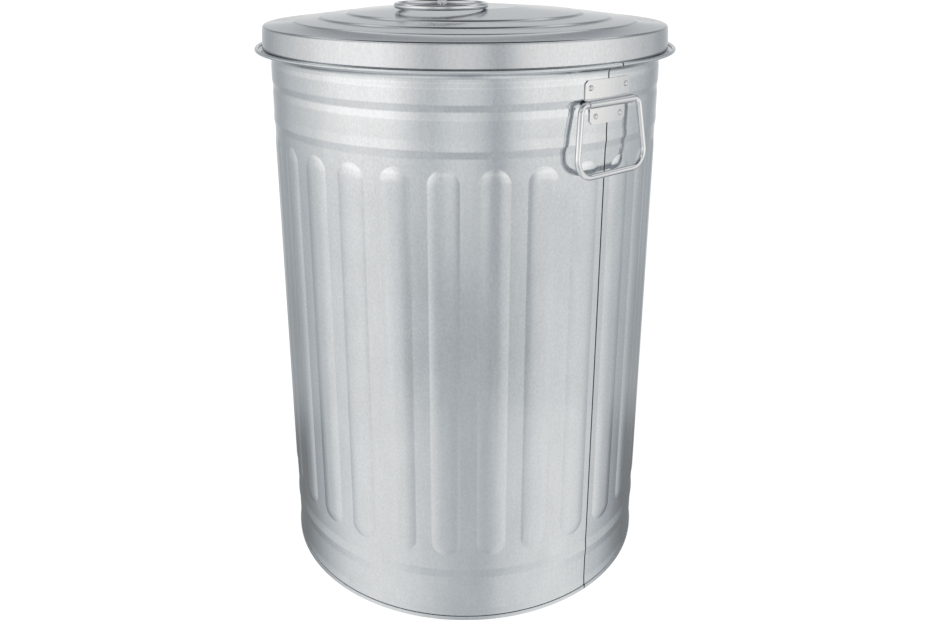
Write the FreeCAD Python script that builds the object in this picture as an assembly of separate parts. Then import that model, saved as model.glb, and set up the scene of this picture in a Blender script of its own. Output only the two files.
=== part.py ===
"""Galvanized steel trash can: a fluted sheet body with a rolled rim, a seamed base,
two riveted wire handles and a lift-off stepped lid with a ring pull.
The origin is the centre of the base, +Z is up and the two handles lie on the X axis."""
import FreeCAD, Part
import math
import os
from FreeCAD import Vector, Placement, Rotation

os.makedirs("parts", exist_ok=True)

# ---------------------------------------------------------------- driving dimensions (mm)
# body sheet
can_h = 582.1              # floor to the top of the rolled rim
wall_r = 206.7             # outside radius of the plain wall
sheet_t = 0.7              # body and base sheet
rim_overhang = 16.3        # from the plain wall out to the rim bead
rim_wire_d = 2.3           # wire rolled into the rim
wire_fit = 0.05            # radial room round a wire that is rolled into sheet
flare_h = 11.0             # from the top of the rim down to the start of the flare
neck_in = 0.6              # the neck stands this far inside the plain wall
neck_h = 2.0

# pressed rings below the rim, from the top down: heights, and relief off the plain wall
ring1_lead_h = 7.3
ring1_h = 14.4
ring1_top_out = 0.3
ring1_out = 0.55
groove_lead_h = 6.6
groove_in = 0.5
ring2_lead_h = 7.1
ring2_h = 18.7
ring2_out = 0.35
ridge_lead_h = 9.0
ridge_out = 0.85
ridge_tail_h = 6.8

# flutes
flute_count = 28
flute_top_gap = 9.5        # from the lowest pressed ring to the top of the flutes
flute_low_z = 81.0
flute_w = 30.0
flute_crown_w = 15.0
flute_out = 1.2
lump_root = 2.0            # a flute's lump starts this deep in the wall
lump_over = 0.1            # and ends this far past its crown, before it is cut to it

# pressed ring and flare at the foot of the wall
foot_ring_z = 53.0
foot_ring_h = 21.0
foot_ring_out = 0.8
foot_flare_h = 14.0
foot_flare_out = 0.6

# side seam
seam_gap = 1.0             # slot beside the edge of the outer sheet
seam_lap = 14.0            # width of the lap behind it

# base
seam_h = 4.8               # height of the base's folded rim outside the wall
pan_rise = 7.0             # floor to the top of the base panel
pan_fit = 0.05             # room between the base's fold and the wall
pan_dish_in = 26.0         # margin outside the raised middle of the panel
pan_dish_h = 2.5
pan_bend_in = 0.5          # inside and outside of the bend at the panel's edge
pan_bend_out = 1.0
pan_fold_bend = 0.6        # bends of the fold round the wall

# handles: strap, rivets and bail
strap_t = 1.0
strap_fit = 0.05           # room between the strap and the rings that it lies on
strap_w = 60.0             # upper plate and hump
strap_low_w = 47.0
strap_up_h = 17.4          # upper plate, above the hump
strap_low_h = 15.4         # lower plate, below the hump
strap_corner = 3.0
hinge_drop = 36.9          # from the top of the rim to the bail's pivot
bail_wire_d = 5.8
pivot_fit = 0.1            # radial running room of the bail in its strap
bail_top_w = 78.0          # axis to axis, at the pivot
bail_low_w = 95.8          # axis to axis, at the grip
bail_drop = 66.3
bail_top_bend = 8.0
bail_low_bend = 17.0
bail_butt = 0.5            # gap between the wire's two ends, inside the strap
bail_lean = 5.0            # degrees that the bail hangs out from the vertical
rivet_d = 3.2
rivet_head_d = 5.6
rivet_head_h = 1.9
rivet_tail_d = 5.0
rivet_tail_h = 1.1
rivet_tail_draft = 0.5
rivet_fit = 0.05
rivet_lift = 0.02          # flat faces of a rivet stand off the curved sheets
hole_reach = 6.0           # rivet holes are cut this far to both sides
rivet_up_pitch = 47.4
rivet_low_pitch = 33.2
rivet_up_rise = 14.4       # above the pivot
rivet_low_drop = 12.2      # below the pivot

# lid
lid_t = 0.7
lid_seat_gap = 0.35        # room under the skirt's edge, on the flare
skirt_in = 7.6             # from the rim's edge in to the skirt's foot
skirt_draft = 1.6          # the skirt is this much smaller at its top
lid_edge_h = 22.1          # from the top of the rim to the lid's shoulder
lid_bend = 2.8
hem_h = 5.0
step_in = (31.5, 58.1, 87.8)    # from the lid's edge in to each step
step_drop = 1.8
step_run = 3.4
lid_slope = 0.075
lid_flat_r = 55.0

# ring pull
ring_r = 46.0
ring_wire_d = 5.8
ring_seat_gap = 0.3
tunnel_fit = 0.6
bracket_w = 10.0
bracket_t = 1.2
bracket_foot = 14.0
bracket_bend = 1.0
bracket_rivet_in = 6.5     # from the end of a foot to its rivet
bracket_rivet_d = 3.0
bracket_head_d = 5.0
bracket_head_h = 1.6
bracket_off = 25.2         # bracket's distance from the lid's centre
bracket_turn = 216.6       # and its direction, degrees from +X
ring_turn = -39.6          # direction that the folded ring points in

# ---------------------------------------------------------------- derived places
bead_r = rim_wire_d / 2 + wire_fit + sheet_t
rim_r = wall_r + rim_overhang
bead_c = rim_r - bead_r
bead_z = can_h - bead_r
bead_hollow_r = bead_r - sheet_t

neck_r = wall_r - neck_in
flare_z = can_h - flare_h
meet_r = bead_c - bead_r + sheet_t / 2       # the flare ends here, in the middle of the bead's sheet
ring1_top_z = flare_z - ring1_lead_h
ring1_low_z = ring1_top_z - ring1_h
groove_z = ring1_low_z - groove_lead_h
ring2_top_z = groove_z - ring2_lead_h
ring2_low_z = ring2_top_z - ring2_h
ridge_z = ring2_low_z - ridge_lead_h
plain_z = ridge_z - ridge_tail_h
flute_top_z = plain_z - flute_top_gap

pivot_z = can_h - hinge_drop
strap_in_r = wall_r + ring1_out + strap_fit
pivot_x = strap_in_r + bail_wire_d / 2 + pivot_fit
hump_in_r = bail_wire_d / 2 + pivot_fit
hump_out_r = hump_in_r + strap_t

shoulder_z = can_h + lid_edge_h
skirt_low_r = rim_r - skirt_in
skirt_top_r = skirt_low_r - skirt_draft
flare_rise = (bead_z - sheet_t - flare_z) / (meet_r - neck_r)
skirt_low_z = (flare_z + (skirt_low_r - neck_r) * flare_rise
               + sheet_t * math.hypot(1, flare_rise) + lid_seat_gap)

join_tol = 0.0001          # flutes whose corners are this close share one corner
bend_ease = 0.05           # a half-round bend is this much tighter, so that a flat is left on top
X, Y, Z = Vector(1, 0, 0), Vector(0, 1, 0), Vector(0, 0, 1)


# ---------------------------------------------------------------- helpers
def rounded_wire(points, closed=True):
    """A wire through (x, z, bend radius) points in the XZ plane, each corner a tangent arc."""
    place = [Vector(p[0], 0, p[1]) for p in points]
    count = len(points)
    starts, ends, mids = [], [], []
    for i, p in enumerate(points):
        bend = p[2] if len(p) > 2 else 0.0
        here = place[i]
        if bend <= 0 or (not closed and i in (0, count - 1)):
            starts.append(here)
            ends.append(here)
            mids.append(None)
            continue
        back = (place[i - 1] - here).normalize()
        on = (place[(i + 1) % count] - here).normalize()
        half = back.getAngle(on) / 2
        reach = bend / math.tan(half)
        inward = (back + on).normalize()
        starts.append(here + back * reach)
        ends.append(here + on * reach)
        mids.append(here + inward * (bend / math.sin(half) - bend))
    edges = []
    for i in range(count):
        if mids[i] is not None:
            edges.append(Part.Arc(starts[i], mids[i], ends[i]).toShape())
        if closed or i < count - 1:
            edges.append(Part.makeLine(ends[i], starts[(i + 1) % count]))
    return Part.Wire(edges)


def turned(points, degrees=360.0, start=0.0):
    """A solid of revolution about +Z from a closed XZ outline, starting at an angle."""
    face = Part.Face(rounded_wire(points))
    solid = face.revolve(Vector(0, 0, 0), Z, degrees)
    solid.rotate(Vector(0, 0, 0), Z, start)
    return solid


def cylinder(radius, height, at, along=Z):
    return Part.makeCylinder(radius, height, at, along)


def save(name, shape):
    shape.exportStep("parts/" + name + ".step")


# ---------------------------------------------------------------- body sheet
def wall_line(shift=0.0):
    """Outside line of the wall from the floor to the start of the flare, moved in by shift."""
    foot_r = wall_r + foot_flare_out
    half = foot_ring_h / 2
    line = [
        (foot_r, sheet_t + pan_fit),
        (foot_r, pan_rise),
        (wall_r, foot_flare_h),
        (wall_r, foot_ring_z - half),
        (wall_r + foot_ring_out, foot_ring_z),
        (wall_r, foot_ring_z + half),
        (wall_r, plain_z),
        (wall_r + ridge_out, ridge_z),
        (wall_r + ring2_out, ring2_low_z),
        (wall_r + ring2_out, ring2_top_z),
        (wall_r - groove_in, groove_z),
        (wall_r + ring1_out, ring1_low_z),
        (wall_r + ring1_top_out, ring1_top_z),
        (neck_r, flare_z - neck_h),
        (neck_r, flare_z),
    ]
    return [(r - shift, z) for r, z in line]


def flute(shift=0.0):
    """One pressed flute as a solid lump on +X: a round-ended plateau with sloping shoulders."""
    base_r = wall_r - shift
    crown_r = base_r + flute_out
    edge_x = math.sqrt(base_r ** 2 - (flute_w / 2) ** 2)
    crown_x = math.sqrt(crown_r ** 2 - (flute_crown_w / 2) ** 2)
    splay = (flute_w - flute_crown_w) / 2 / (crown_x - edge_x)
    loops = []
    for x in (edge_x - lump_root, crown_r + lump_over):
        half = flute_w / 2 - (x - edge_x) * splay
        low = flute_low_z + flute_w / 2
        top = flute_top_z - flute_w / 2
        loops.append(Part.Wire([
            Part.makeLine(Vector(x, -half, low), Vector(x, -half, top)),
            Part.Arc(Vector(x, -half, top), Vector(x, 0, top + half), Vector(x, half, top)).toShape(),
            Part.makeLine(Vector(x, half, top), Vector(x, half, low)),
            Part.Arc(Vector(x, half, low), Vector(x, 0, low - half), Vector(x, -half, low)).toShape(),
        ]))
    crown = cylinder(crown_r, can_h, Vector(0, 0, 0))
    crown.rotate(Vector(0, 0, 0), Z, 180)
    return Part.makeLoft(loops, True, True).common(crown)


def fluted_block(shift):
    """The wall as a filled block, with the flutes round it."""
    line = wall_line(shift)
    block = turned([(0, line[0][1])] + line + [(0, line[-1][1])])
    lump = flute(shift)
    step = 360.0 / flute_count
    lumps = []
    for i in range(flute_count):
        one = lump.copy()
        one.rotate(Vector(0, 0, 0), Z, (i + 0.5) * step)
        lumps.append(one)
    return block.multiFuse(lumps, join_tol)


def rivet_places(side):
    """Centres of one handle's four rivets, as (azimuth in degrees, height)."""
    facing = 0.0 if side > 0 else 180.0
    places = []
    for pitch, z in ((rivet_up_pitch, pivot_z + rivet_up_rise), (rivet_low_pitch, pivot_z - rivet_low_drop)):
        swing = math.degrees(pitch / 2 / strap_in_r)
        places += [(facing - swing, z), (facing + swing, z)]
    return places


def outward(azimuth):
    return Vector(math.cos(math.radians(azimuth)), math.sin(math.radians(azimuth)), 0)


def rivet_holes(side):
    """Cutters for one handle's four rivet holes, long enough for both the wall and the strap."""
    return [cylinder(rivet_d / 2 + rivet_fit, 2 * hole_reach,
                     outward(azimuth) * (strap_in_r - hole_reach) + Z * z, outward(azimuth))
            for azimuth, z in rivet_places(side)]


def body_shell():
    shell = fluted_block(0.0).cut(fluted_block(sheet_t))
    # the flare rises from the neck to the bead, and the bead rolls over the rim wire
    flare = turned([
        (neck_r, flare_z), (meet_r, bead_z - sheet_t), (meet_r, bead_z),
        (meet_r - sheet_t, bead_z), (neck_r - sheet_t, flare_z)])
    bead = Part.makeTorus(bead_c, bead_r, Vector(0, 0, bead_z))
    hollow = Part.makeTorus(bead_c, bead_hollow_r, Vector(0, 0, bead_z))
    shell = shell.fuse(flare.fuse(bead).cut(hollow))
    # the seam: a slot beside the outer sheet's edge, with the lap behind it
    gap_swing = math.degrees(seam_gap / wall_r)
    lap_swing = math.degrees(seam_lap / wall_r)
    slot = turned(wall_line(-1.0) + list(reversed(wall_line(sheet_t))), gap_swing, -gap_swing / 2)
    slot_low_z = seam_h + pan_fit
    slot_top_z = flare_z - sheet_t
    slot = slot.common(cylinder(rim_r, slot_top_z - slot_low_z, Vector(0, 0, slot_low_z)))
    lap_face = [p for p in wall_line(sheet_t) if p[1] > pan_rise]
    lap_back = [p for p in wall_line(2 * sheet_t) if p[1] > pan_rise]
    lap = turned(lap_face + list(reversed(lap_back)), lap_swing, -lap_swing / 2)
    shell = shell.cut(slot).fuse(lap)
    return shell.cut(rivet_holes(1) + rivet_holes(-1)).removeSplitter()


def rim_wire():
    return Part.makeTorus(bead_c, rim_wire_d / 2, Vector(0, 0, bead_z))


# ---------------------------------------------------------------- base
def base_pan():
    """Base panel, dished up in its middle, folded down and round the wall's lower edge."""
    wall_out = wall_r + foot_flare_out
    out_r = wall_out + pan_fit + sheet_t
    in_r = wall_out - sheet_t - pan_fit - sheet_t
    dish_r = in_r - pan_dish_in
    top = pan_rise
    return turned([
        (0, top - sheet_t + pan_dish_h),
        (dish_r - pan_dish_h, top - sheet_t + pan_dish_h),
        (dish_r + pan_dish_h, top - sheet_t),
        (in_r, top - sheet_t, pan_bend_in),
        (in_r, 0, pan_fold_bend),
        (out_r, 0, pan_fold_bend),
        (out_r, seam_h),
        (out_r - sheet_t, seam_h),
        (out_r - sheet_t, sheet_t),
        (in_r + sheet_t, sheet_t),
        (in_r + sheet_t, top, pan_bend_out),
        (dish_r + pan_dish_h, top),
        (dish_r - pan_dish_h, top + pan_dish_h),
        (0, top + pan_dish_h),
    ])


# ---------------------------------------------------------------- handles
def plate(width, low_z, high_z, corners_up):
    """A curved plate on the pressed rings, with two cut corners at its free edge."""
    swing = math.degrees(width / strap_in_r)
    sheet = turned([(strap_in_r, low_z), (strap_in_r + strap_t, low_z),
                    (strap_in_r + strap_t, high_z), (strap_in_r, high_z)], swing, -swing / 2)
    half = strap_in_r * math.sin(math.radians(swing / 2))
    edge_z, up = (high_z, 1) if corners_up else (low_z, -1)
    over = strap_corner
    for side in (-1, 1):
        tip = Vector(0, side * (half + over), edge_z + up * over)
        chip = Part.Face(Part.makePolygon([
            tip, tip - Y * side * (2 * over + strap_corner), tip - Z * up * (2 * over + strap_corner), tip]))
        sheet = sheet.cut(chip.extrude(X * strap_in_r * 2))
    return sheet


def strap(side):
    """Handle strap: an upper and a lower plate, and the hump that holds the bail's wire."""
    back_x = strap_in_r * math.cos(strap_w / 2 / strap_in_r) - strap_t
    half = strap_w / 2
    hump = cylinder(hump_out_r, strap_w, Vector(pivot_x, -half, pivot_z), Y)
    hump = hump.fuse(Part.makeBox(pivot_x - back_x, strap_w, 2 * hump_out_r,
                                  Vector(back_x, -half, pivot_z - hump_out_r)))
    bore = cylinder(hump_in_r, strap_w, Vector(pivot_x, -half, pivot_z), Y)
    bore = bore.fuse(Part.makeBox(pivot_x - back_x, strap_w, 2 * hump_in_r,
                                  Vector(back_x, -half, pivot_z - hump_in_r)))
    hump = hump.cut(bore).cut(cylinder(strap_in_r, can_h, Vector(0, 0, 0)))
    upper = plate(strap_w, pivot_z + hump_in_r, pivot_z + hump_out_r + strap_up_h, True)
    lower = plate(strap_low_w, pivot_z - hump_out_r - strap_low_h, pivot_z - hump_in_r, False)
    whole = hump.fuse(upper).fuse(lower)
    whole = whole.cut(rivet_holes(1)).removeSplitter()
    if side < 0:
        whole.rotate(Vector(0, 0, 0), Z, 180)
    return whole


def rivet(shank_d, head_d, head_h, grip, tail_d, tail_h):
    """A rivet along +Z: its domed head above z = 0, and its formed tail below the grip."""
    dome_r = (head_d ** 2 / 4 + head_h ** 2) / (2 * head_h)
    dome = Part.makeSphere(dome_r, Vector(0, 0, head_h - dome_r))
    head = dome.common(cylinder(head_d, head_h, Vector(0, 0, 0)))
    foot = Vector(0, 0, -grip - tail_h)
    shank = cylinder(shank_d / 2, tail_h + grip + head_h / 2, foot)
    tail = Part.makeCone(tail_d / 2 - rivet_tail_draft, tail_d / 2, tail_h, foot)
    return head.fuse(shank).fuse(tail).removeSplitter()


def wall_r_at(z):
    """Outside radius of the plain wall and its pressed rings at a height."""
    line = wall_line()
    for (r0, z0), (r1, z1) in zip(line, line[1:]):
        if z0 <= z <= z1:
            return r0 + (r1 - r0) * (z - z0) / (z1 - z0)
    return wall_r


def handle_rivets(side):
    """One handle's four rivets. Each tail lies on the wall's inside, or on the seam's lap there."""
    solids = []
    head_at = strap_in_r + strap_t + rivet_lift
    for azimuth, z in rivet_places(side):
        deepest = min(wall_r_at(z - rivet_tail_d / 2), wall_r_at(z), wall_r_at(z + rivet_tail_d / 2))
        sag = deepest - math.sqrt(deepest ** 2 - (rivet_tail_d / 2) ** 2)
        near_seam = math.radians(abs(azimuth)) * wall_r < (seam_lap + rivet_tail_d) / 2
        sheets = 2 * sheet_t if near_seam else sheet_t
        grip = head_at - (deepest - sheets - sag - rivet_lift)
        one = rivet(rivet_d, rivet_head_d, rivet_head_h, grip, rivet_tail_d, rivet_tail_h)
        one.rotate(Vector(0, 0, 0), Y, 90)
        one.rotate(Vector(0, 0, 0), Z, azimuth)
        one.translate(outward(azimuth) * head_at + Z * z)
        solids.append(one)
    return Part.makeCompound(solids)


def bail(side):
    """Wire handle: one bent wire whose two ends meet inside the strap."""
    path = rounded_wire([
        (bail_butt / 2, 0), (bail_top_w / 2, 0, bail_top_bend),
        (bail_low_w / 2, -bail_drop, bail_low_bend), (-bail_low_w / 2, -bail_drop, bail_low_bend),
        (-bail_top_w / 2, 0, bail_top_bend), (-bail_butt / 2, 0)], closed=False)
    ring = Part.Wire(Part.makeCircle(bail_wire_d / 2, Vector(bail_butt / 2, 0, 0), X))
    wire = path.makePipeShell([ring], True, False)
    wire.rotate(Vector(0, 0, 0), Z, 90)
    wire.rotate(Vector(0, 0, 0), Y, -bail_lean)
    wire.translate(Vector(pivot_x, 0, pivot_z))
    if side < 0:
        wire.rotate(Vector(0, 0, 0), Z, 180)
    return wire


# ---------------------------------------------------------------- lid
def lid_line():
    """Top line of the lid from its centre to its shoulder, as (radius, height)."""
    r, z = skirt_top_r, shoulder_z
    line = [(r, z)]
    for inset in step_in:
        foot_r = skirt_top_r - inset + step_run / 2
        z += (r - foot_r) * lid_slope
        line.append((foot_r, z))
        r = foot_r - step_run
        z += step_drop
        line.append((r, z))
    z += (r - lid_flat_r) * lid_slope
    line += [(lid_flat_r, z), (0, z)]
    return list(reversed(line))


lid_top_z = lid_line()[0][1]


def bracket_place():
    way = outward(bracket_turn)
    return way * bracket_off + Z * lid_top_z


def bracket_rivet_places():
    """Centres of the bracket's two rivets on the lid's top."""
    reach = ring_wire_d / 2 + tunnel_fit + bracket_t + bracket_foot - bracket_rivet_in
    way = outward(ring_turn)
    return [bracket_place() + way * reach, bracket_place() - way * reach]


def bracket_rivet_hole(place):
    return cylinder(bracket_rivet_d / 2 + rivet_fit, 2 * hole_reach, place - Z * hole_reach)


def lid_panel():
    """The stamped top, the skirt under its rounded edge, and the hem folded up inside the skirt."""
    top = lid_line()[:-1]
    under = [(r, z - lid_t) for r, z in reversed(top)]
    hem_r = skirt_low_r - 2 * lid_t
    hem_top_z = skirt_low_z + hem_h
    hem_top_r = hem_r - skirt_draft * hem_h / (shoulder_z - skirt_low_z)
    panel = turned(top + [
        (skirt_top_r, shoulder_z, lid_bend), (skirt_low_r, skirt_low_z), (hem_r, skirt_low_z),
        (hem_top_r, hem_top_z), (hem_top_r + lid_t, hem_top_z),
        (skirt_top_r - lid_t, shoulder_z - lid_t, lid_bend - lid_t)] + under)
    return panel.cut([bracket_rivet_hole(place) for place in bracket_rivet_places()]).removeSplitter()


def ring_pull():
    """Closed ring of round wire, folded down on the lid towards ring_turn."""
    centre = bracket_place() + outward(ring_turn) * ring_r + Z * (ring_seat_gap + ring_wire_d / 2)
    return Part.makeTorus(ring_r, ring_wire_d / 2, centre)


def ring_bracket():
    """Bridge strap over the ring's wire, with a riveted foot on each side."""
    tunnel_r = ring_wire_d / 2 + tunnel_fit
    out_r = tunnel_r + bracket_t
    reach = out_r + bracket_foot
    wire_z = ring_seat_gap + ring_wire_d / 2
    out_bend = out_r - bend_ease
    in_bend = tunnel_r - bend_ease
    shape = rounded_wire([
        (-reach, 0), (-reach, bracket_t), (-out_r, bracket_t, bracket_bend),
        (-out_r, wire_z + out_r, out_bend), (out_r, wire_z + out_r, out_bend),
        (out_r, bracket_t, bracket_bend), (reach, bracket_t), (reach, 0),
        (tunnel_r, 0), (tunnel_r, wire_z + tunnel_r, in_bend),
        (-tunnel_r, wire_z + tunnel_r, in_bend), (-tunnel_r, 0)])
    strip = Part.Face(shape).extrude(Y * bracket_w)
    strip.translate(Y * (-bracket_w / 2))
    strip.rotate(Vector(0, 0, 0), Z, ring_turn)
    strip.translate(bracket_place())
    return strip.cut([bracket_rivet_hole(place) for place in bracket_rivet_places()])


def bracket_rivets():
    solids = []
    for place in bracket_rivet_places():
        one = rivet(bracket_rivet_d, bracket_head_d, bracket_head_h, bracket_t + lid_t,
                    rivet_tail_d, rivet_tail_h)
        one.translate(place + Z * bracket_t)
        solids.append(one)
    return Part.makeCompound(solids)


# ---------------------------------------------------------------- write the pieces
pieces = {
    "body_shell": body_shell(),
    "rim_wire": rim_wire(),
    "base_pan": base_pan(),
    "lid_panel": lid_panel(),
    "ring_pull": ring_pull(),
    "ring_bracket": ring_bracket(),
    "bracket_rivets": bracket_rivets(),
}
for label, side in (("right", 1), ("left", -1)):
    pieces["handle_strap_" + label] = strap(side)
    pieces["handle_rivets_" + label] = handle_rivets(side)
    pieces["bail_" + label] = bail(side)

for name, shape in pieces.items():
    save(name, shape)
    print("%-22s solids %d valid %s volume %.0f" % (name, len(shape.Solids), shape.isValid(), shape.Volume))
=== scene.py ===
import math

import bmesh
import bpy
from mathutils import Matrix, Vector


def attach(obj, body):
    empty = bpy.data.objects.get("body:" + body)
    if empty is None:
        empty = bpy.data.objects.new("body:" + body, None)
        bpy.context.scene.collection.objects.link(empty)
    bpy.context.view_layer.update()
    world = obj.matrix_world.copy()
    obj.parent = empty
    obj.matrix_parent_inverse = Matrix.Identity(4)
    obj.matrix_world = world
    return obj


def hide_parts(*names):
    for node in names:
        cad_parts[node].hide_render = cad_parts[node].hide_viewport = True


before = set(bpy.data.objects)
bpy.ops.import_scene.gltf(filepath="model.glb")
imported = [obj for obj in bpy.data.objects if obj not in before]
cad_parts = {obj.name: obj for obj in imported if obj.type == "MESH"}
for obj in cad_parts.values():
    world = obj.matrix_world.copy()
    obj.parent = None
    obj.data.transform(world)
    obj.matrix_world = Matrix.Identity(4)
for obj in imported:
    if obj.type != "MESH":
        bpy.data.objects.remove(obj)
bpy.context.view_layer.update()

# ------------------------------------------------------------------ the body
# One sheet of galvanized steel, rolled into a tube and pressed: rings below the rim, a row of
# upright flutes, and one low ring at the foot. Its top flares out and is rolled over a wire.
# The tube's two edges are joined in a lock seam that runs down the right side.
wall_r = 206.7
sheet = 0.7
flutes = 28
flute_half_w = 15.0
crown_half_w = 3.5
flute_out = 1.2
flute_low = 81.0
flute_high = 491.5
band_low = 77.0
band_high = 495.5
end_steps = 10
side_runs = 8
turn_steps = flutes * end_steps
bead_r = 1.9
bead_centre = (221.1, 580.2)
foot_line = [(207.3, 0.9), (207.3, 7.0), (wall_r, 14.0), (206.6, 42.5), (207.4, 53.0), (206.5, 63.5),
             (wall_r, band_low)]
ring_line = [(wall_r, band_high), (wall_r, 501.2), (207.55, 508.0), (207.05, 517.0), (207.05, 535.7),
             (206.2, 542.8), (207.25, 549.4), (207.0, 563.8), (206.4, 569.1), (206.5, 572.6), (208.0, 574.9),
             (211.5, 576.1), (215.4, 576.8), (219.1, 578.9)]
crease = 0.8
corner_share = 0.3
edge_stay = 0.3
seam_low = 1.0
seam_top_r = 219.3
seam_half_w = 0.85
seam_deep = 1.3
# Painted shade along the seam: the body's colour is near black within the first distance from the seam, in
# millimetres, and clear again by the second.
seam_dark_to = 0.6
seam_clear_from = 1.0
seam_dark = 0.03


def softened(line, reach):
    """The same line with each corner rounded over its reach, and the runs between kept flat."""
    soft = [line[0]]
    for before, corner, after in zip(line, line[1:], line[2:]):
        here = Vector(corner)
        back = Vector(before) - here
        on = Vector(after) - here
        start = here + back * min(corner_share, reach / back.length)
        end = here + on * min(corner_share, reach / on.length)
        soft += [start + (start - here) * edge_stay, start, (start + here * 2 + end) / 4, end,
                 end + (end - here) * edge_stay]
    return [tuple(dot) for dot in soft] + [line[-1]]


def spun(bm, line, steps):
    """A line of (radius, height) turned once about the can's axis."""
    dots = [bm.verts.new((r, 0, z)) for r, z in line]
    runs = [bm.edges.new(pair) for pair in zip(dots, dots[1:])]
    bmesh.ops.spin(bm, geom=dots + runs, cent=(0, 0, 0), axis=(0, 0, 1), angle=math.tau,
                   steps=steps, use_merge=True)


def extended(bm, edges):
    """Grows a run of edges in place, and gives the new edges and their points."""
    grown = bmesh.ops.extrude_edge_only(bm, edges=edges)["geom"]
    dots = {g for g in grown if isinstance(g, bmesh.types.BMVert)}
    return [g for g in grown if isinstance(g, bmesh.types.BMEdge) and dots.issuperset(g.verts)], dots


def made(bm, name, material, body, node, sharp=40):
    """Turns millimetres into the finished piece and puts it on its body."""
    bmesh.ops.remove_doubles(bm, verts=bm.verts, dist=0.002)
    bmesh.ops.recalc_face_normals(bm, faces=bm.faces)
    bmesh.ops.scale(bm, vec=(0.001, 0.001, 0.001), verts=bm.verts)
    mesh = bpy.data.meshes.new(name)
    bm.to_mesh(mesh)
    bm.free()
    mesh.shade_smooth()
    mesh.set_sharp_from_angle(angle=math.radians(sharp))
    piece = bpy.data.objects.new(name, mesh)
    bpy.context.scene.collection.objects.link(piece)
    mesh.materials.append(material)
    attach(piece, body)
    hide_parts(node)
    return piece


def thickened(piece, depth):
    """Gives a skin its sheet thickness, inwards."""
    plate = piece.modifiers.new("sheet", "SOLIDIFY")
    plate.thickness = depth * 0.001
    plate.offset = -1.0
    return piece


def zinc(name, tint, rough, mottle=0.03, streak=0.015, patch=0.035, wave=0.1, grain=0.004):
    """Zinc-coated steel: a grey mirror clouded by the zinc's grain. Waves and grain are in millimetres."""
    material = bpy.data.materials.new(name)
    material.use_nodes = True
    nodes = material.node_tree.nodes
    link = material.node_tree.links.new
    skin = nodes["Principled BSDF"]
    skin.inputs["Metallic"].default_value = 1.0
    place = nodes.new("ShaderNodeTexCoord")

    def cloud(size_mm, stretch, detail):
        turn = nodes.new("ShaderNodeMapping")
        turn.inputs["Scale"].default_value = (1000 / size_mm, 1000 / size_mm, 1000 / size_mm / stretch)
        link(place.outputs["Object"], turn.inputs["Vector"])
        noise = nodes.new("ShaderNodeTexNoise")
        noise.inputs["Scale"].default_value = 1.0
        noise.inputs["Detail"].default_value = detail
        link(turn.outputs["Vector"], noise.inputs["Vector"])
        return noise.outputs["Fac"]

    def spread(value, low, high, start=0.3, end=0.7):
        span = nodes.new("ShaderNodeMapRange")
        span.inputs["From Min"].default_value = start
        span.inputs["From Max"].default_value = end
        span.inputs["To Min"].default_value = low
        span.inputs["To Max"].default_value = high
        link(value, span.inputs["Value"])
        return span.outputs["Result"]

    def both(kind, first, second):
        sum_of = nodes.new("ShaderNodeMath")
        sum_of.operation = kind
        link(first, sum_of.inputs[0])
        link(second, sum_of.inputs[1])
        return sum_of.outputs["Value"]

    fine = cloud(2.2, 1.3, 3.0)
    streaks = cloud(4.0, 12.0, 3.0)
    patches = cloud(34.0, 1.6, 3.0)
    shade = both("MULTIPLY", spread(fine, 1 - mottle, 1 + mottle),
                 spread(streaks, 1 - streak, 1 + streak))
    shade = both("MULTIPLY", shade, spread(patches, 1 - patch, 1 + patch))
    colour = nodes.new("ShaderNodeMix")
    colour.data_type = "RGBA"
    colour.inputs["A"].default_value = (0, 0, 0, 1)
    colour.inputs["B"].default_value = (*tint, 1)
    colour.clamp_factor = False
    link(shade, colour.inputs["Factor"])
    link(colour.outputs["Result"], skin.inputs["Base Color"])
    both_clouds = both("ADD", patches, fine)
    link(spread(both_clouds, rough - 0.03, rough + 0.04, 0.7, 1.3), skin.inputs["Roughness"])

    slow = nodes.new("ShaderNodeBump")
    slow.inputs["Strength"].default_value = 1.0
    slow.inputs["Distance"].default_value = wave * 0.001
    link(cloud(62.0, 2.4, 1.0), slow.inputs["Height"])
    close = nodes.new("ShaderNodeBump")
    close.inputs["Strength"].default_value = 1.0
    close.inputs["Distance"].default_value = grain * 0.001
    link(fine, close.inputs["Height"])
    link(slow.outputs["Normal"], close.inputs["Normal"])
    link(close.outputs["Normal"], skin.inputs["Normal"])
    return material


def seam_painted_shade(material):
    """Paints the seam's shade into the colour: a narrow near-black stripe down the right side, where the
    seam's edge casts its shadow.
    """
    nodes = material.node_tree.nodes
    link = material.node_tree.links.new
    where = nodes.new("ShaderNodeSeparateXYZ")
    link(nodes["Texture Coordinate"].outputs["Object"], where.inputs["Vector"])
    beside = nodes.new("ShaderNodeMath")
    beside.operation = "ABSOLUTE"
    link(where.outputs["Y"], beside.inputs[0])
    clear = nodes.new("ShaderNodeMapRange")
    clear.inputs["From Min"].default_value = seam_dark_to * 0.001
    clear.inputs["From Max"].default_value = seam_clear_from * 0.001
    clear.inputs["To Min"].default_value = seam_dark
    link(beside.outputs["Value"], clear.inputs["Value"])
    left = nodes.new("ShaderNodeMath")
    left.operation = "LESS_THAN"
    left.inputs[1].default_value = 0.0
    link(where.outputs["X"], left.inputs[0])
    kept = nodes.new("ShaderNodeMath")
    kept.operation = "MAXIMUM"
    link(clear.outputs["Result"], kept.inputs[0])
    link(left.outputs["Value"], kept.inputs[1])
    shaded = nodes.new("ShaderNodeMix")
    shaded.data_type = "RGBA"
    shaded.inputs["A"].default_value = (0, 0, 0, 1)
    skin = nodes["Principled BSDF"]
    link(skin.inputs["Base Color"].links[0].from_socket, shaded.inputs["B"])
    link(kept.outputs["Value"], shaded.inputs["Factor"])
    link(shaded.outputs["Result"], skin.inputs["Base Color"])


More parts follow.
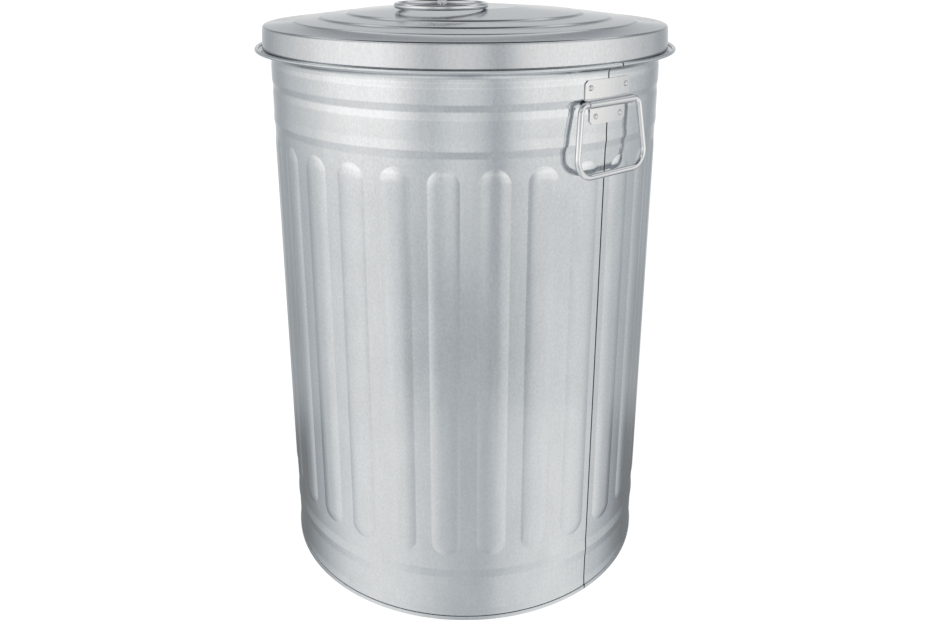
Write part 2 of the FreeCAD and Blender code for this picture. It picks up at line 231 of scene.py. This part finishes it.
body_zinc = zinc("body_zinc", (0.642, 0.67, 0.695), 0.12, mottle=0.055)
# The seam's shadow is painted into the body's colour as a dark stripe.
seam_painted_shade(body_zinc)

half_pitch = math.pi * wall_r / flutes
spine_low = flute_low + flute_half_w
spine_high = flute_high - flute_half_w


def flute_loop(half_w):
    """A round-ended loop about the flute's middle line; without a width, the sector's own border."""
    loop = []
    for way, spine_z, edge_z in ((1, spine_high, band_high), (-1, spine_low, band_low)):
        for i in range(2 * end_steps + 1):
            swing = math.pi * i / (2 * end_steps)
            share = min(i, 2 * end_steps - i) / end_steps * 2
            side = way * (1 if i < end_steps else -1)
            if half_w:
                loop.append((way * math.cos(swing) * half_w, spine_z + way * math.sin(swing) * half_w))
            else:
                out = half_pitch * min(1, 2 - share)
                up = (edge_z - spine_z) * min(1, share)
                loop.append((side * out, spine_z + up))
        loop += [(-way * (half_w or half_pitch), spine_z + way * (spine_low - spine_high) * i / side_runs)
                 for i in range(1, side_runs)]
    return loop


def flute_section():
    """Half of the flute's cross-section as (half width, height): a crisp foot and a soft crown."""
    flank = flute_half_w - crown_half_w
    shares = (0, 0.15, 0.32, 0.5, 0.72, 1)
    curve = [(flute_half_w - flank * share, flute_out * (1 - (1 - share) ** 2)) for share in shares]
    return softened([(half_pitch, 0)] + curve[:2], crease / 2)[1:] + curve[2:]


def sheet_loop(bm, loop, rise):
    """Draws a loop on the flat sheet, at a height above it."""
    dots = [bm.verts.new((x, rise, z)) for x, z in loop]
    return [bm.edges.new((dots[i - 1], dots[i])) for i in range(len(dots))]


bm = bmesh.new()
section = flute_section()
ring = sheet_loop(bm, flute_loop(section[0][0]), 0)
bmesh.ops.bridge_loops(bm, edges=sheet_loop(bm, flute_loop(None), 0) + ring)
for (half_w, rise), (next_w, next_rise) in zip(section, section[1:]):
    ring, dots = extended(bm, ring)
    for v in dots:
        v.co.x *= next_w / half_w
        v.co.z += (v.co.z - min(max(v.co.z, spine_low), spine_high)) * (next_w / half_w - 1)
        v.co.y = next_rise
bmesh.ops.contextual_create(bm, geom=ring)
for v in bm.verts:
    swing = (v.co.x + half_pitch) / wall_r
    reach = wall_r + v.co.y
    v.co = (reach * math.cos(swing), reach * math.sin(swing), v.co.z)
bmesh.ops.spin(bm, geom=bm.verts[:] + bm.edges[:] + bm.faces[:], cent=(0, 0, 0), axis=(0, 0, 1),
               angle=math.tau * (flutes - 1) / flutes, steps=flutes - 1, use_duplicate=True)
curl = [(bead_centre[0] + bead_r * math.cos(a), bead_centre[1] + bead_r * math.sin(a))
        for a in map(math.radians, range(222, 541, 22))]
spun(bm, softened(ring_line, crease) + curl, turn_steps)
spun(bm, softened(foot_line, crease), turn_steps)
bmesh.ops.remove_doubles(bm, verts=bm.verts, dist=0.01)
bmesh.ops.recalc_face_normals(bm, faces=bm.faces)
seam = [e for e in bm.edges if all(
    abs(v.co.y) < 0.01 and 0 < v.co.x < seam_top_r and seam_low < v.co.z < bead_centre[1] for v in e.verts)]
bmesh.ops.bevel(bm, geom=seam, offset=seam_half_w, offset_type="OFFSET", segments=2, profile=0.5,
                affect="EDGES", material=-1)
for v in bm.verts:
    if abs(v.co.y) < 0.05 and 0 < v.co.x < seam_top_r and seam_low < v.co.z < bead_centre[1]:
        v.co.x -= seam_deep
thickened(made(bm, "body", body_zinc, "can", "body_shell", sharp=28), sheet)

# ------------------------------------------------------------------ the base
# A shallow pan pressed from the same sheet. Its edge is folded up round the wall's lower edge,
# which makes the narrow hoop that the can stands on.
panel_under = 6.3
panel_top = panel_under + sheet
dish_r = 179.0
dish_foot_r = 184.0
dish_rise = 2.5
fold_in_r = 206.55
hoop_r = 208.05
hoop_h = 4.8
hoop_foot = [(205.4, panel_under), (205.85, 0.5), (206.4, 0), (207.6, 0), (hoop_r, 0.5)]
fold = [(hoop_r, hoop_h), (hoop_r - sheet, hoop_h), (hoop_r - sheet, 0.75), (fold_in_r, 0.75)]
pan_line = ([(0, panel_under + dish_rise), (dish_r, panel_under + dish_rise), (dish_foot_r, panel_under)]
            + hoop_foot + fold + [(fold_in_r, panel_top), (dish_foot_r, panel_top),
                                  (dish_r, panel_top + dish_rise), (0, panel_top + dish_rise)])
bm = bmesh.new()
spun(bm, softened(pan_line, 0.3), turn_steps)
made(bm, "base", body_zinc, "can", "base_pan", sharp=35)

# ------------------------------------------------------------------ the lid
# A round of sheet, stamped with three low steps round a flat middle and bent down all round.
# The skirt's lower edge is folded inside, so that it isn't sharp.
lid_steps = (126.0, 155.7, 182.3)
lid_drop = 1.8
lid_run = 3.4
lid_slope = 0.075
flat_r = 55.0
shoulder = (213.8, 604.2)
shoulder_bend = 2.6
shoulder_lift = 0.2
skirt = [(213.86, 600.6), (215.3, 579.8), (215.36, 579.1)]
skirt_low = (215.4, 578.1)
hem_h = 5.0
hem_lean = 0.3
hem_bend = sheet
lid_turn_steps = 300
lid_zinc = zinc("lid_zinc", (0.565, 0.585, 0.61), 0.12, mottle=0.06)

rises = []
r, z = shoulder
for step in reversed(lid_steps):
    z += (r - step - lid_run / 2) * lid_slope
    rises.append((step + lid_run / 2, z))
    r = step - lid_run / 2
    z += lid_drop
    rises.append((r, z))
lid_top = z + (r - flat_r) * lid_slope
top_line = [(0, lid_top), (30.0, lid_top), (flat_r, lid_top)] + rises[::-1]
corner = [(shoulder[0] - shoulder_bend + shoulder_bend * math.sin(a),
           shoulder[1] - shoulder_bend + shoulder_lift + shoulder_bend * math.cos(a))
          for a in map(math.radians, range(6, 91, 14))]
hem = [(skirt_low[0] - hem_bend + hem_bend * math.cos(a), skirt_low[1] + hem_bend - hem_bend * math.sin(a))
       for a in map(math.radians, range(0, 181, 30))]
hem.append((hem[-1][0] - hem_lean, skirt_low[1] + hem_h))
bm = bmesh.new()
spun(bm, softened(top_line, 0.6) + corner + skirt + hem, lid_turn_steps)
thickened(made(bm, "lid", lid_zinc, "lid", "lid_panel"), sheet * 0.9)

# ------------------------------------------------------------------ the handles
# Each bail is one length of bright zinc-plated wire, bent to a rounded trapezium whose two ends
# meet inside the strap. The strap is one strip, folded over the wire and held by four rivets.
wire_r = 2.9
wire_sides = 20
wire_butt = 0.5
degrees_a_step = 7
bail_top_w = 78.0
bail_low_w = 95.8
bail_drop = 66.3
bail_top_bend = 8.0
bail_low_bend = 17.0
bail_lean = 5.0
pivot = (210.3, 545.2)
wire_zinc = zinc("wire_zinc", (0.75, 0.76, 0.775), 0.09, streak=0.0, wave=0.02)
strap_zinc = zinc("strap_zinc", (0.72, 0.73, 0.745), 0.15, streak=0.0, wave=0.03)
rivet_zinc = zinc("rivet_zinc", (0.74, 0.735, 0.74), 0.12, mottle=0.02, streak=0.0, wave=0.0)


def bent_wire(bm, start, heading, moves):
    """Draws a round wire from start: each move is a straight length, or a turn and its radius."""
    across = Vector((0, 1, 0))
    at = Vector(start)
    head = Vector(heading)
    aim = head.to_track_quat("Z", "Y").to_matrix().to_4x4()
    loop = bmesh.ops.create_circle(bm, segments=wire_sides, radius=wire_r,
                                   matrix=Matrix.Translation(at) @ aim)
    edges = list({e for v in loop["verts"] for e in v.link_edges})
    for move in moves:
        if len(move) == 1:
            edges, dots = extended(bm, edges)
            bmesh.ops.translate(bm, vec=head * move[0], verts=list(dots))
            at = at + head * move[0]
        else:
            turn, bend_r = move
            centre = at + across.cross(head) * bend_r
            steps = max(6, round(turn / degrees_a_step))
            swept = bmesh.ops.spin(bm, geom=edges + list({v for e in edges for v in e.verts}), cent=centre,
                                   axis=across, angle=math.radians(turn), steps=steps)
            edges = [g for g in swept["geom_last"] if isinstance(g, bmesh.types.BMEdge)]
            turned = Matrix.Rotation(math.radians(turn), 3, across)
            at = centre + turned @ (at - centre)
            head = turned @ head


splay = math.degrees(math.atan2((bail_low_w - bail_top_w) / 2, bail_drop))
leg = math.hypot((bail_low_w - bail_top_w) / 2, bail_drop)
top_turn = 90 - splay
low_turn = 90 + splay
top_reach = bail_top_bend * math.tan(math.radians(top_turn / 2))
low_reach = bail_low_bend * math.tan(math.radians(low_turn / 2))
for side, body_name, node in ((1, "right_bail", "bail_right"), (-1, "left_bail", "bail_left")):
    bm = bmesh.new()
    bent_wire(bm, (wire_butt / 2, 0, 0), (1, 0, 0), [
        (bail_top_w / 2 - top_reach - wire_butt / 2,), (top_turn, bail_top_bend),
        (leg - top_reach - low_reach,), (low_turn, bail_low_bend), (bail_low_w / 2 - low_reach,)])
    rims = [e for e in bm.edges if len(e.link_faces) == 1]
    ends = [e for e in rims if all(abs(v.co.z) < 2 * wire_r for v in e.verts)]
    bmesh.ops.edgeloop_fill(bm, edges=ends)
    bmesh.ops.mirror(bm, geom=bm.verts[:] + bm.edges[:] + bm.faces[:], axis="X", merge_dist=0.01)
    place = (Matrix.Rotation(0 if side > 0 else math.pi, 4, "Z") @ Matrix.Translation((pivot[0], 0, pivot[1]))
             @ Matrix.Rotation(math.radians(-bail_lean), 4, "Y") @ Matrix.Rotation(math.radians(90), 4, "Z"))
    bmesh.ops.transform(bm, matrix=place, verts=bm.verts)
    made(bm, node.replace("bail_", "wire_bail_"), wire_zinc, body_name, node, sharp=60)

for name in ("handle_strap_right", "handle_strap_left"):
    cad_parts[name].data.materials[0] = strap_zinc
for name in ("handle_rivets_right", "handle_rivets_left", "bracket_rivets"):
    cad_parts[name].data.materials[0] = rivet_zinc
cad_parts["rim_wire"].data.materials[0] = wire_zinc

# ------------------------------------------------------------------ the ring pull
# A closed ring of the same wire. It lies flat on the lid, and swings up in a bridge strap that
# is riveted to the lid on both sides of it.
ring_r = 46.0
ring_steps = 96
ring_seat = 0.3
ring_turn = math.radians(-39.6)
bracket_off = 25.2
bracket_turn = math.radians(216.6)
ring_centre = (bracket_off * math.cos(bracket_turn) + ring_r * math.cos(ring_turn),
               bracket_off * math.sin(bracket_turn) + ring_r * math.sin(ring_turn),
               lid_top + ring_seat + wire_r)
bm = bmesh.new()
side_on = Matrix.Translation((ring_r, 0, 0)) @ Matrix.Rotation(math.radians(90), 4, "X")
bmesh.ops.create_circle(bm, segments=wire_sides, radius=wire_r, matrix=side_on)
bmesh.ops.spin(bm, geom=bm.verts[:] + bm.edges[:], cent=(0, 0, 0), axis=(0, 0, 1), angle=math.tau,
               steps=ring_steps, use_merge=True)
bmesh.ops.translate(bm, vec=ring_centre, verts=bm.verts)
made(bm, "ring", wire_zinc, "ring", "ring_pull", sharp=60)
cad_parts["ring_bracket"].data.materials[0] = strap_zinc

# ------------------------------------------------------------------ floor
# A plain white floor. It keeps a soft shadow, and the metal mirrors the pale studio instead of it.
floor_grey = 0.5
floor_glow = 0.82
floor_half_m = 40.0
floor_white = bpy.data.materials.new("floor_white")
floor_white.use_nodes = True
nodes = floor_white.node_tree.nodes
link = floor_white.node_tree.links.new
nodes["Principled BSDF"].inputs["Base Color"].default_value = (floor_grey, floor_grey, floor_grey, 1)
nodes["Principled BSDF"].inputs["Roughness"].default_value = 1.0
nodes["Principled BSDF"].inputs["Specular IOR Level"].default_value = 0.0
glow = nodes.new("ShaderNodeEmission")
glow.inputs["Strength"].default_value = floor_glow
seen = nodes.new("ShaderNodeLightPath")
own = nodes.new("ShaderNodeMixShader")
both_lit = nodes.new("ShaderNodeAddShader")
link(nodes["Principled BSDF"].outputs["BSDF"], both_lit.inputs[0])
link(glow.outputs["Emission"], both_lit.inputs[1])
link(seen.outputs["Is Camera Ray"], own.inputs["Fac"])
link(nodes["Principled BSDF"].outputs["BSDF"], own.inputs[1])
link(both_lit.outputs["Shader"], own.inputs[2])
link(own.outputs["Shader"], nodes["Material Output"].inputs["Surface"])
bm = bmesh.new()
bmesh.ops.create_grid(bm, x_segments=1, y_segments=1, size=floor_half_m)
mesh = bpy.data.meshes.new("floor")
bm.to_mesh(mesh)
bm.free()
mesh.materials.append(floor_white)
floor = bpy.data.objects.new("floor", mesh)
bpy.context.scene.collection.objects.link(floor)
floor.visible_glossy = False

# ------------------------------------------------------------------ studio
# A pale studio all round: two broad soft lights, left and right of the camera, a bright line at
# the horizon, and darker ground in front and behind. The camera sees it as plain white.
camera_turn = 50.4
top_level = 2.0
sky_level = 1.2
cool = (0.95, 0.988, 1.018)
warm = (1.02, 1.0, 0.965)
cool_below = 0.55
warm_above = 1.05
studio = bpy.data.worlds.new("studio")
bpy.context.scene.world = studio
studio.use_nodes = True
nodes = studio.node_tree.nodes
link = studio.node_tree.links.new
view = nodes.new("ShaderNodeTexCoord")
swing = nodes.new("ShaderNodeMapping")
swing.vector_type = "VECTOR"
swing.inputs["Rotation"].default_value = (0, 0, math.radians(-camera_turn))
link(view.outputs["Generated"], swing.inputs["Vector"])
parts = nodes.new("ShaderNodeSeparateXYZ")
link(swing.outputs["Vector"], parts.inputs["Vector"])


def worked(kind, *values):
    step = nodes.new("ShaderNodeMath")
    step.operation = kind
    for socket, value in zip(step.inputs, values):
        if isinstance(value, (int, float)):
            socket.default_value = value
        else:
            link(value, socket)
    return step.outputs["Value"]


def ramp(value, low, high, stops):
    """Light levels along an angle in degrees, joined smoothly. The strip holds a share of the top level."""
    share = worked("DIVIDE", worked("SUBTRACT", value, low), high - low)
    strip = nodes.new("ShaderNodeValToRGB")
    strip.color_ramp.interpolation = "CARDINAL"
    for _ in range(len(stops) - 2):
        strip.color_ramp.elements.new(0.5)
    for element, (angle, level) in zip(strip.color_ramp.elements, stops):
        element.position = (angle - low) / (high - low)
        element.color = (level / top_level, level / top_level, level / top_level, 1)
    link(share, strip.inputs["Fac"])
    return worked("MULTIPLY", strip.outputs["Color"], top_level)


ahead = worked("MULTIPLY", parts.outputs["Y"], -1.0)
turn = worked("MULTIPLY", worked("ARCTAN2", parts.outputs["X"], ahead), math.degrees(1))
rise = worked("MULTIPLY", worked("ARCSINE", parts.outputs["Z"]), math.degrees(1))
upper = ramp(turn, -180, 180, [
    (-180, 0.8), (-158, 0.66), (-141, 0.5), (-125, 0.62), (-108, 0.8), (-90, 1.0), (-73, 1.2),
    (-55, 1.26), (-42, 1.2), (-30, 0.95), (-18, 0.74), (-8, 0.87), (4, 0.85), (11, 0.73), (18, 0.6),
    (26, 0.82), (37, 1.05), (55, 1.12), (75, 1.12), (92, 0.92), (108, 0.77), (126, 0.6), (141, 0.5),
    (158, 0.66), (180, 0.8)])
level = ramp(turn, -180, 180, [
    (-180, 0.8), (-158, 0.66), (-141, 0.48), (-122, 0.56), (-105, 0.72), (-90, 0.86), (-70, 0.98),
    (-52, 0.98), (-40, 0.89), (-28, 0.78), (-18, 0.72), (-8, 0.83), (4, 0.81), (11, 0.71), (18, 0.57),
    (26, 0.75), (36, 0.84), (52, 0.88), (75, 0.88), (95, 0.79), (112, 0.66), (126, 0.56), (141, 0.48),
    (158, 0.66), (180, 0.8)])
lower = ramp(turn, -180, 180, [
    (-180, 0.6), (-158, 0.5), (-141, 0.42), (-126, 0.5), (-112, 0.62), (-90, 0.85), (-72, 0.96),
    (-55, 1.0), (-42, 0.9), (-30, 0.72), (-20, 0.63), (-8, 0.6), (4, 0.6), (14, 0.57), (22, 0.6),
    (30, 0.72), (42, 0.82), (58, 0.9), (75, 0.9), (95, 0.76), (112, 0.62), (126, 0.5), (141, 0.42),
    (158, 0.5), (180, 0.6)])
ground = ramp(turn, -180, 180, [
    (-180, 0.3), (-160, 0.24), (-140, 0.24), (-128, 0.32), (-116, 0.46), (-104, 0.64), (-90, 0.84),
    (-72, 0.98), (-52, 1.0), (-40, 0.95), (-28, 0.86), (-14, 0.74), (0, 0.66), (14, 0.68), (22, 0.8),
    (36, 0.9), (52, 0.98), (72, 0.98), (90, 0.82), (105, 0.62), (117, 0.42), (130, 0.27), (145, 0.24),
    (160, 0.24), (180, 0.3)])
along = ramp(rise, -90, 90, [
    (-90, 0.9), (-50, 0.97), (-36, 1.0), (-10, 1.0), (-5, 1.0), (-2, 1.12), (2, 1.1), (7, 0.88),
    (14, 0.84), (23, 0.62), (31, 0.64), (39, 0.9), (47, 0.6), (56, 0.16), (66, 0.06), (90, 0.05)])


def blended(above, under, high, low):
    """The upper level over the lower one, changing between two heights in degrees."""
    span = nodes.new("ShaderNodeMapRange")
    span.interpolation_type = "SMOOTHSTEP"
    span.inputs["From Min"].default_value = low
    span.inputs["From Max"].default_value = high
    link(rise, span.inputs["Value"])
    share = span.outputs["Result"]
    return worked("ADD", worked("MULTIPLY", above, share),
                  worked("MULTIPLY", under, worked("SUBTRACT", 1.0, share)))


walls = blended(blended(upper, level, -9, -16.5), lower, -16.5, -24.5)
studio_levels = blended(sky_level, blended(walls, ground, -27.5, -32), 44, 33)
glow = worked("MULTIPLY", studio_levels, along)
light = nodes["Background"]
link(glow, light.inputs["Strength"])
tone = nodes.new("ShaderNodeMix")
tone.data_type = "RGBA"
tone.inputs["A"].default_value = (*cool, 1)
tone.inputs["B"].default_value = (*warm, 1)
warmth = worked("DIVIDE", worked("SUBTRACT", glow, cool_below), warm_above - cool_below)
link(warmth, tone.inputs["Factor"])
link(tone.outputs["Result"], light.inputs["Color"])
plain = nodes.new("ShaderNodeBackground")
plain.inputs["Color"].default_value = (1, 1, 1, 1)
path = nodes.new("ShaderNodeLightPath")
choice = nodes.new("ShaderNodeMixShader")
link(path.outputs["Is Camera Ray"], choice.inputs["Fac"])
link(light.outputs["Background"], choice.inputs[1])
link(plain.outputs["Background"], choice.inputs[2])
link(choice.outputs["Shader"], nodes["World Output"].inputs["Surface"])

# ------------------------------------------------------------------ camera
# As the photograph was taken: a little above the lid, to the right of the can's front.
picture_w = 930
picture_h = 620
focal_px = 862.78
optical_row = 220
camera_away = 0.9515
camera_up = 0.68146
camera_pitch = 17.606
sensor_w = 36.0
lens = bpy.data.cameras.new("camera")
lens.sensor_width = sensor_w
lens.lens = sensor_w * focal_px / picture_w
lens.shift_y = (optical_row - picture_h / 2) / picture_w
lens.clip_start = 0.01
lens.clip_end = 200
camera = bpy.data.objects.new("camera", lens)
bpy.context.scene.collection.objects.link(camera)
away = math.radians(camera_turn)
camera.location = (camera_away * math.sin(away), -camera_away * math.cos(away), camera_up)
camera.rotation_euler = (math.radians(90 - camera_pitch), 0, away)
bpy.context.scene.camera = camera
bpy.context.scene.view_settings.view_transform = "Standard"
